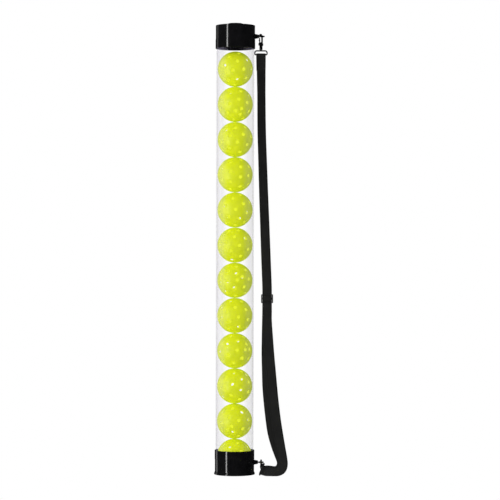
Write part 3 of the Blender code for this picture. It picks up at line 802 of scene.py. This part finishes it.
def circle_on_ball(direction, opening, radius):
    """Places on a circle of that opening radius about a direction, at a distance from the centre."""
    side = direction.cross(Z).normalized()
    up = side.cross(direction)
    spread = math.asin(opening / radius)
    for k in range(HOLE_CORNERS):
        angle = WHOLE_TURN * k / HOLE_CORNERS
        offset = (side * math.cos(angle) + up * math.sin(angle)) * math.sin(spread)
        yield (direction * math.cos(spread) + offset) * radius


def skin_directions(holes):
    """Evenly spread directions clear of the holes and of the seam, and three rings for the seam."""
    golden = math.pi * (3 - math.sqrt(5))
    clear = math.cos((HOLE_RADIUS + HOLE_ROUNDING + 1.0 * MM) / BALL_RADIUS)
    seam_half = 0.4 * MM / BALL_RADIUS
    for i in range(SKIN_POINTS):
        height = 1 - 2 * (i + 0.5) / SKIN_POINTS
        flat = math.sqrt(1 - height * height)
        way = Vector((flat * math.cos(golden * i), flat * math.sin(golden * i), height))
        if abs(height) > 4 * seam_half and all(way.dot(hole) < clear for hole in holes):
            yield way, 1.0
    for tilt, grow in ((-seam_half, 1.0), (0, 1 + SEAM_HEIGHT / BALL_RADIUS), (seam_half, 1.0)):
        for k in range(SEAM_POINTS):
            angle = WHOLE_TURN * (k + (0.5 if tilt else 0)) / SEAM_POINTS
            yield Vector((math.cos(angle), math.sin(angle), tilt)).normalized(), grow


def ball_mesh():
    """The hull of the skin's points and the holes' rims, doubled inwards and joined by round rims."""
    holes = list(hole_directions())
    edge = HOLE_RADIUS + HOLE_ROUNDING
    bm = bmesh.new()
    grown = {bm.verts.new(way * BALL_RADIUS): grow for way, grow in skin_directions(holes)}
    rims = [[bm.verts.new(place) for place in circle_on_ball(hole, edge, BALL_RADIUS)] for hole in holes]
    bm.verts.index_update()
    bmesh.ops.convex_hull(bm, input=bm.verts)
    covers = []
    for rim in rims:
        own = set(rim)
        near = {face for vert in rim for face in vert.link_faces}
        covers += [face for face in near if set(face.verts) <= own]
    bmesh.ops.delete(bm, geom=covers, context="FACES_ONLY")
    bmesh.ops.recalc_face_normals(bm, faces=bm.faces)
    inner = {vert: bm.verts.new(vert.co * (1 - BALL_WALL / BALL_RADIUS)) for vert in list(bm.verts)}
    for face in list(bm.faces):
        bm.faces.new([inner[vert] for vert in reversed(face.verts)])
    for vert, grow in grown.items():
        vert.co *= grow
    bend = HOLE_ROUNDING * (1 - math.sqrt(0.5))
    steps = (
        (HOLE_RADIUS + bend, BALL_RADIUS - bend),
        (HOLE_RADIUS, BALL_RADIUS - HOLE_ROUNDING),
        (HOLE_RADIUS, BALL_RADIUS - BALL_WALL + HOLE_ROUNDING),
        (HOLE_RADIUS + bend, BALL_RADIUS - BALL_WALL + bend),
    )
    for hole, rim in zip(holes, rims):
        loops = [rim]
        loops += [[bm.verts.new(place) for place in circle_on_ball(hole, *step)] for step in steps]
        loops.append([inner[vert] for vert in rim])
        for loop, following in zip(loops, loops[1:]):
            join_rings(bm, loop, following)
    bmesh.ops.recalc_face_normals(bm, faces=bm.faces)
    mesh = bpy.data.meshes.new("perforated_ball")
    bm.to_mesh(mesh)
    bm.free()
    mesh.shade_smooth()
    return mesh


def balls(look):
    shared = ball_mesh()
    shared.materials.append(look)
    for number in range(1, BALL_COUNT + 1):
        node = f"ball_{number:02d}"
        low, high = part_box(node)
        mesh = shared.copy()
        turn = Euler(BALL_TURN * number + Y * BALL_FIRST_TILT)
        mesh.transform(turn.to_matrix().to_4x4())
        ball = bpy.data.objects.new(f"{node}_surface", mesh)
        bpy.context.scene.collection.objects.link(ball)
        ball.location = (0, 0, (low.z + high.z) / 2)
        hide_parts(node)
        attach(ball, node)


# ---- snap hooks


def hook_matrix(eye_height, swing_direction, swing_deg):
    """The hook's frame, swung outwards by swing_deg: Z up its swivel axis, X from its back to its gate."""
    outward = swing_direction.normalized()
    swing = math.radians(swing_deg)
    grip = X * EYE_X + Z * eye_height + outward * EYE_RING_RADIUS
    up = Z * math.cos(swing) - outward * math.sin(swing)
    gate_side = outward * math.cos(swing) + Z * math.sin(swing)
    placed = Matrix((gate_side, up.cross(gate_side), up)).transposed().to_4x4()
    placed.translation = grip - gate_side * CLAW_OFFSET
    return placed


def loop_frame(hook, width_direction):
    """The hook's frame turned about its swivel axis until its X lies along the loop's width."""
    up = hook.to_3x3().col[2]
    across = (width_direction - up * width_direction.dot(up)).normalized()
    placed = Matrix((across, up.cross(across), up)).transposed().to_4x4()
    placed.translation = hook.translation
    return placed


def hook_frame_surface(prefix, place, look):
    """The cast claw, the block that holds the gate's pin, and the swivel barrel."""
    back = CLAW_OFFSET - CLAW_RADIUS
    stem = ((0.9, -16.5), (0.2, -13), (0, -9), (0, -5))
    path = [Vector((back + lean * MM, 0, z * MM)) for lean, z in stem]
    path += list(arc((CLAW_OFFSET, CLAW_CENTRE_Z), CLAW_RADIUS, 180, -8, 28))
    claw = rod(f"{prefix}_hook_frame_surface", path, CLAW_WIRE, sides=32)
    half = HOOK_THICKNESS / 2
    base = block("base", (-5.9 * MM, -half, HOOK_BASE_BOTTOM), (6.8 * MM, half, HOOK_BASE_TOP), 0.9 * MM)
    barrel = straight("barrel", Z * BARREL_BOTTOM, Z * (HOOK_BASE_BOTTOM + MM), BARREL_RADIUS, 48)
    collar = straight("barrel_collar", Z * BARREL_BOTTOM, Z * (BARREL_BOTTOM + 1.6 * MM), BARREL_RADIUS, 48)
    post_hole = straight("post_hole", Z * -30 * MM, Z * -13 * MM, POST_RADIUS + FIT_GAP)
    slot = block(
        "gate_slot",
        (PIN.x - 2.1 * MM, -GATE_SLOT / 2, HOOK_BASE_BOTTOM - MM),
        (10 * MM, GATE_SLOT / 2, HOOK_BASE_TOP + MM),
    )
    shaped(claw, [base, barrel, collar], [post_hole, slot], CAST_VOXEL, place=place)
    adopt(claw, f"{prefix}_hook_frame", f"{prefix}_hook", look)


def hook_gate_surface(prefix, place, look):
    """The sprung gate: a wire arm on a hub, with a thumb knob."""
    arm = ((5.1, -14.8), (5.3, -13), (5.5, -11), (5.9, -7), (6, -3.4))
    path = [Vector((x, 0, z)) * MM for x, z in arm]
    gate = rod(f"{prefix}_hook_gate_surface", path, GATE_WIRE, sides=28)
    hub = straight("hub", PIN - Y * 1.4 * MM, PIN, 1.9 * MM)
    web = block("web", PIN + Vector((-0.4, -1.4, 0.4)) * MM, PIN + Vector((1.6, 0, 3.6)) * MM)
    knob_start = PIN + Vector((1.2, 0, 7.8)) * MM
    knob = straight("knob", knob_start, knob_start + X * 2.7 * MM, 1.1 * MM)
    hole = straight("pin_hole", PIN - Y * 3 * MM, PIN + Y * 3 * MM, 0.95 * MM)
    shaped(gate, [hub, web, knob], [hole], GATE_VOXEL, place=place)
    adopt(gate, f"{prefix}_hook_gate", f"{prefix}_gate", look)


def gate_pin_and_spring(prefix, place, look):
    reach = 2.85 * MM
    points = [PIN + Y * (reach * t) for t in (-1, -0.8, -0.4, 0, 0.4, 0.8, 1)]
    pin = rod(f"{prefix}_gate_pin_surface", points, PIN_RADIUS, sides=28)
    pin.data.transform(place)
    adopt(pin, f"{prefix}_gate_pin", f"{prefix}_hook", look)
    turns, steps, coil, start, length = 3, 28, 1.35 * MM, 0.45 * MM, 0.9 * MM
    points = []
    for i in range(turns * steps + 1):
        angle = WHOLE_TURN * i / steps
        along = start + length * i / (turns * steps)
        points.append(PIN + Vector((coil * math.cos(angle), along, coil * math.sin(angle))))
    spring = rod(f"{prefix}_gate_spring_surface", points, 0.12 * MM, sides=10)
    spring.data.transform(place)
    adopt(spring, f"{prefix}_gate_spring", f"{prefix}_hook", look)


def swivel_loop_surface(prefix, place, body, look):
    """The wire loop for the strap, with the post that turns in the hook's barrel."""
    low, high = 1.9 * MM, 4.1 * MM
    corners = (
        (LOOP_HALF_WIDTH - low, LOOP_BAR_Z + low, low, -90),
        (LOOP_HALF_WIDTH - high, LOOP_TOP_Z - high, high, 0),
        (high - LOOP_HALF_WIDTH, LOOP_TOP_Z - high, high, 90),
        (low - LOOP_HALF_WIDTH, LOOP_BAR_Z + low, low, 180),
    )
    path = []
    for x, z, radius, start in corners:
        path += list(arc((x, z), radius, start, start + 90, 10))
    loop = rod(f"{prefix}_swivel_loop_surface", path, LOOP_WIRE, sides=28, cyclic=True)
    post = straight("post", Z * (LOOP_TOP_Z - 0.5 * MM), Z * -13.5 * MM, POST_RADIUS)
    shoulder_top = Z * (LOOP_TOP_Z + 1.6 * MM)
    shoulder = straight("post_shoulder", Z * LOOP_TOP_Z, shoulder_top, 2.2 * MM, end_radius=POST_RADIUS)
    head = straight("post_head", Z * -14.2 * MM, Z * -12.8 * MM, POST_HEAD_RADIUS)
    shaped(loop, [post, shoulder, head], (), CAST_VOXEL, place=place)
    adopt(loop, f"{prefix}_swivel_loop", body, look)


def snap_hook(prefix, place, loop_place, loop_body, plated, steel):
    hook_frame_surface(prefix, place, plated)
    hook_gate_surface(prefix, place, plated)
    gate_pin_and_spring(prefix, place, steel)
    swivel_loop_surface(prefix, loop_place, loop_body, plated)


# ---- strap

# The strap's free run, from the sewn top down to the slider: x, y, z and the width's x, y
UPPER_RUN = (
    (53.9, -4.6, 868, 0.985, 0.17),
    (54.2, -4.8, 846, 0.93, 0.37),
    (54.7, -5, 800, 0.87, 0.49),
    (55.6, -6, 720, 0.90, 0.44),
    (57.7, -7.5, 655, 0.92, 0.39),
    (59.9, -9, 590, 0.95, 0.31),
    (62.6, -10.6, 520, 0.98, 0.20),
    (65.2, -12, 450, 1, 0.05),
    (67.4, -12.65, 395, 1, 0),
)
# Through the slider, relative to its centre: y and z of the running strap and of the sewn end
INTO_SLIDER = ((1.35, 10.4), (1.35, 8.4), (1.0, 7.3), (-0.6, 5.2), (-2.1, 3.3), (-2.65, 1.6))
SLIDER_WEAVE = INTO_SLIDER + tuple((y, -z) for y, z in reversed(INTO_SLIDER))
SEWN_END = (
    (2.75, -11),
    (2.7, -8),
    (2.3, -5),
    (1.5, -2.8),
    (1.3, -1),
    (1.25, 1.2),
    (0.75, 2),
    (0, 2.25),
    (-0.75, 2),
    (-1.25, 1.2),
    (-1.3, 0),
    (-1.3, -1.4),
)
# Below the slider, down and round to the lower loop: x, y, z and the width's direction
OUTER_RUN = (
    (67.7, -12.65, 345, 1, 0, 0),
    (67.7, -12.65, 323, 1, 0, 0),
    (70.4, -15.6, 285, 1, 0, 0),
    (72.9, -19.6, 252, 1, 0, 0.02),
    (76, -24, 219, 1, 0, 0.04),
    (79, -27, 186, 1, 0, 0.06),
    (82.3, -30.5, 153, 1, 0, 0.08),
    (86.3, -34.5, 120, 1, 0, 0.10),
    (91.3, -39, 88, 1, -0.02, 0.12),
    (96.8, -43.5, 56, 1, -0.05, 0.12),
    (100.3, -46.5, 36, 0.98, -0.1, -0.05),
    (101, -48.6, 24.5, 0.92, -0.15, -0.35),
    (98.2, -50.2, 15.8, 0.75, -0.25, -0.62),
    (92, -51, 11.6, 0.35, -0.40, -0.85),
    (84, -50, 10.6, 0.05, -0.45, -0.88),
    (75, -47.8, 10.8, -0.15, -0.30, -0.92),
)
INNER_RUN = (
    (75, -40.6, 12.4, -0.15, -0.40, -0.88),
    (83, -43.2, 12.2, 0, -0.55, -0.83),
    (90.5, -44.4, 14.2, 0.35, -0.50, -0.79),
    (96.5, -43.6, 20, 0.70, -0.35, -0.60),
    (98.3, -41.5, 30, 0.95, -0.20, -0.30),
    (92.8, -38.6, 46, 1, -0.05, 0.02),
    (86.8, -35.6, 62, 1, 0, 0.12),
    (78.9, -31.4, 90, 1, 0, 0.14),
    (74.3, -27, 121, 1, 0, 0.10),
    (70.7, -23.4, 153, 1, 0, 0.08),
    (68, -20.4, 186, 1, 0, 0.04),
    (67, -17.6, 219, 1, 0, 0.02),
    (66.2, -15.4, 252, 1, 0, 0),
    (66.5, -12.6, 285, 1, 0, 0),
    (67, -11.3, 315, 1, 0, 0),
    (67.5, -11.3, 340, 1, 0, 0),
)


def at(row):
    return Vector(row[:3]) * MM, Vector((*row[3:], 0, 0)[:3]).normalized()


def beside_slider(rows):
    return [(SLIDER_CENTRE + Y * y * MM + Z * z * MM, X) for y, z in rows]


def fold(bar, front, run, width, steps=6):
    """Stations round a bar, from its front to its back, on the side away from run."""
    for i in range(steps + 1):
        angle = math.pi * i / steps
        yield bar + (front * math.cos(angle) - run * math.sin(angle)) * FOLD_RADIUS, width


def smooth(stations):
    """Rows (place, width direction) close together on a smooth curve through the stations."""
    places = [place for place, _ in stations]
    last = len(stations) - 1
    rows = []
    for i in range(last):
        before, after = places[max(i - 1, 0)], places[min(i + 2, last)]
        start, end = places[i], places[i + 1]
        span = (end - start).length
        leave = (end - before) * (span / (span + (start - before).length + 1e-9))
        arrive = (after - start) * (span / ((after - end).length + span + 1e-9))
        pieces = max(2, round(span / STRAP_STEP))
        for k in range(pieces):
            t = k / pieces
            place = start * (2 * t**3 - 3 * t**2 + 1) + leave * (t**3 - 2 * t**2 + t)
            place += end * (3 * t**2 - 2 * t**3) + arrive * (t**3 - t**2)
            rows.append((place, stations[i][1].lerp(stations[i + 1][1], t)))
    rows.append(stations[-1])
    return rows


def strap_rows(stations):
    """Rows of (place, along, across, through, distance from the start)."""
    rows = smooth(stations)
    out = []
    distance = 0.0
    for i, (place, width) in enumerate(rows):
        run = (rows[min(i + 1, len(rows) - 1)][0] - rows[max(i - 1, 0)][0]).normalized()
        across = (width - run * width.dot(run)).normalized()
        if i:
            distance += (place - rows[i - 1][0]).length
        out.append((place, run, across, run.cross(across).normalized(), distance))
    return out


def strap_section():
    """The webbing's cross-section: (across, through) places round it, ribbed on both faces."""
    half = STRAP_WIDTH / 2
    depth = STRAP_THICKNESS / 2
    per_rib = 3
    count = RIB_COUNT * per_rib
    face = []
    for k in range(1, count):
        side = -half + STRAP_WIDTH * k / count
        rib = abs(math.sin(math.pi * k / per_rib))
        edge_falloff = min(1.0, (half - abs(side)) / (0.9 * MM)) ** 0.5
        face.append((side, depth * edge_falloff * (0.86 + 0.14 * rib)))
    upper = [(side, height) for side, height in face]
    lower = [(side, -height) for side, height in reversed(face)]
    return [(-half, 0.0), *upper, (half, 0.0), *lower]


def strap_surface(node, stations, look):
    """The woven strap lofted through its stations. Gives the piece, its rows and its length."""
    rows = strap_rows(stations)
    section = strap_section()
    bm = bmesh.new()
    rings, places = [], []
    for place, _, across, through, distance in rows:
        ring = [bm.verts.new(place + across * side + through * height) for side, height in section]
        rings.append(ring)
        places += [(side + STRAP_WIDTH, distance, 0.0) for side, _ in section]
    for ring, following in zip(rings, rings[1:]):
        join_rings(bm, ring, following)
    bm.faces.new(rings[0][::-1])
    bm.faces.new(rings[-1])
    strap = object_of(f"{node}_surface", bm)
    values = strap.data.attributes.new("strap_place", "FLOAT_VECTOR", "POINT")
    values.data.foreach_set("vector", [number for place in places for number in place])
    strap.data.materials.append(look)
    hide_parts(node)
    return strap, rows, rows[-1][4]


def stitched_box(name, rows, look, body):
    """A sewn rectangle with a cross in it, as single stitches lying on the strap's outer face."""
    length = rows[-1][4] - rows[0][4]
    half = STRAP_WIDTH / 2 - 2.6 * MM
    margin = 2.0 * MM
    low, high = margin, length - margin
    lines = (
        ((-half, low), (half, low)),
        ((half, low), (half, high)),
        ((half, high), (-half, high)),
        ((-half, high), (-half, low)),
        ((-half, low), (half, high)),
        ((half, low), (-half, high)),
    )

    def on_strap(side, distance, lift):
        wanted = rows[0][4] + distance
        row = min(rows, key=lambda each: abs(each[4] - wanted))
        place, run, across, through, reached = row
        return place + run * (wanted - reached) + across * side + through * (STRAP_THICKNESS / 2 + lift)

    bm = bmesh.new()
    for (x0, y0), (x1, y1) in lines:
        span = math.hypot(x1 - x0, y1 - y0)
        count = max(2, round(span / (2.1 * MM)))
        for k in range(count):
            points = []
            for t, lift in ((0.08, -0.22), (0.2, 0.02), (0.5, 0.10), (0.8, 0.02), (0.92, -0.22)):
                f = (k + t) / count
                points.append(on_strap(x0 + (x1 - x0) * f, y0 + (y1 - y0) * f, lift * MM))
            add_rod(bm, points, 0.2 * MM, sides=8)
    stitches = object_of(name, bm)
    stitches.data.materials.append(look)
    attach(stitches, body)
    return stitches


def strap(upper_loop, lower_loop, cloth, sewing):
    upper_bar = upper_loop @ (Z * LOOP_BAR_Z)
    run = [at(row) for row in UPPER_RUN]
    tail = [(place + Z.cross(width) * PLY_SPACING, width) for place, width in run[:2]]
    stations = tail[::-1] + list(fold(upper_bar, Y, -Z, X)) + run

    lower_bar = lower_loop @ (Z * LOOP_BAR_Z)
    width = -lower_loop.to_3x3().col[0]
    leave = (X - width * X.dot(width)).normalized()
    front = width.cross(leave)
    if front.y > 0:
        front = -front
    outer = [at(row) for row in OUTER_RUN]
    inner = [at(row) for row in INNER_RUN]
    half_turn = list(fold(lower_bar, front, leave, width, steps=8))
    first = [(half_turn[0][0] + leave * 5 * MM, width)] + half_turn[:5]
    second = half_turn[5:] + [(half_turn[-1][0] + leave * 5 * MM, width)]
    cap_side = stations + beside_slider(SLIDER_WEAVE) + outer + first
    tube_side = second + inner + beside_slider(SEWN_END)

    webbing, rows, length = strap_surface("strap_webbing", cap_side, cloth)
    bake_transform(webbing)
    back, _, back_length = strap_surface("strap_return", tube_side, cloth)
    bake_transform(back)

    tail_part = [row for row in rows if SEWN_LOW < row[0].z < SEWN_HIGH and row[1].z > 0.5]
    front_part = [row for row in rows if SEWN_LOW < row[0].z < SEWN_HIGH and row[1].z < -0.5]
    stitched_box("sewn_box_front", front_part, sewing, "top_cap")
    stitched_box("sewn_box_back", tail_part, sewing, "top_cap")


def rounded_box_path(half_width, low, high, radius, steps=6):
    """A closed outline in x and z with round corners."""
    corners = (
        (half_width - radius, low + radius, -90),
        (half_width - radius, high - radius, 0),
        (radius - half_width, high - radius, 90),
        (radius - half_width, low + radius, 180),
    )
    for x, z, start in corners:
        for k in range(steps + 1):
            angle = math.radians(start + 90 * k / steps)
            yield x + radius * math.cos(angle), z + radius * math.sin(angle)


def slider_surface(look):
    """The moulded slider: a flat frame with a middle bar, all its edges rounded."""
    rounding = 0.3 * MM
    curve = bpy.data.curves.new("slider", "CURVE")
    curve.dimensions = "2D"
    curve.fill_mode = "BOTH"
    curve.extrude = SLIDER_HALF.y - rounding
    curve.bevel_depth = rounding
    curve.bevel_resolution = 3
    curve.offset = -rounding
    outlines = (
        rounded_box_path(SLIDER_HALF.x, -SLIDER_HALF.z, SLIDER_HALF.z, 1.5 * MM),
        rounded_box_path(SLOT_HALF_WIDTH, SLOT_LOW, SLOT_HIGH, 0.8 * MM),
        rounded_box_path(SLOT_HALF_WIDTH, -SLOT_HIGH, -SLOT_LOW, 0.8 * MM),
    )
    for outline in outlines:
        points = list(outline)
        spline = curve.splines.new("POLY")
        spline.points.add(len(points) - 1)
        for point, (x, z) in zip(spline.points, points):
            point.co = (x, z, 0, 1)
        spline.use_cyclic_u = True
    guide = bpy.data.objects.new("slider_guide", curve)
    bpy.context.scene.collection.objects.link(guide)
    bpy.context.view_layer.update()
    mesh = bpy.data.meshes.new_from_object(guide.evaluated_get(bpy.context.evaluated_depsgraph_get()))
    bpy.data.objects.remove(guide)
    mesh.transform(Matrix.Translation(SLIDER_CENTRE) @ Matrix.Rotation(math.radians(90), 4, "X"))
    bm = bmesh.new()
    bm.from_mesh(mesh)
    bmesh.ops.remove_doubles(bm, verts=bm.verts, dist=1e-6)
    slider = object_of("slider_surface", bm)
    slider.data.set_sharp_from_angle(angle=math.radians(50))
    adopt(weighted_normals(slider), "strap_slider", "slider", look)


# ---- the whole object


def main():
    bpy.context.scene.view_settings.view_transform = "Standard"
    camera()
    studio()
    floor()
    black = black_plastic()
    plated = black_plated()
    steel = spring_steel()
    tube_surface(clear_plastic())
    collar_surface(black)
    ring_surface(rubber())
    cap_surface(black)
    eye_surface("upper_screw_eye", UPPER_EYE_Z, "top_cap", plated)
    eye_surface("lower_screw_eye", LOWER_EYE_Z, "tube", plated)
    balls(ball_plastic())
    upper = hook_matrix(UPPER_EYE_Z, UPPER_SWING_DIRECTION, UPPER_SWING)
    upper_loop = loop_frame(upper, X)
    snap_hook("upper", upper, upper_loop, "top_cap", plated, steel)
    lower = hook_matrix(LOWER_EYE_Z, LOWER_SWING_DIRECTION, LOWER_SWING)
    lower_loop = loop_frame(lower, LOWER_LOOP_DIRECTION)
    snap_hook("lower", lower, lower_loop, "tube", plated, steel)
    strap(upper_loop, lower_loop, webbing_cloth(), thread())
    slider_surface(slider_plastic())


main()
visual_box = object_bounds()
{name: [list(map(float, corner)) for corner in box] for name, box in (("cad", cad_box), ("visual", visual_box))}
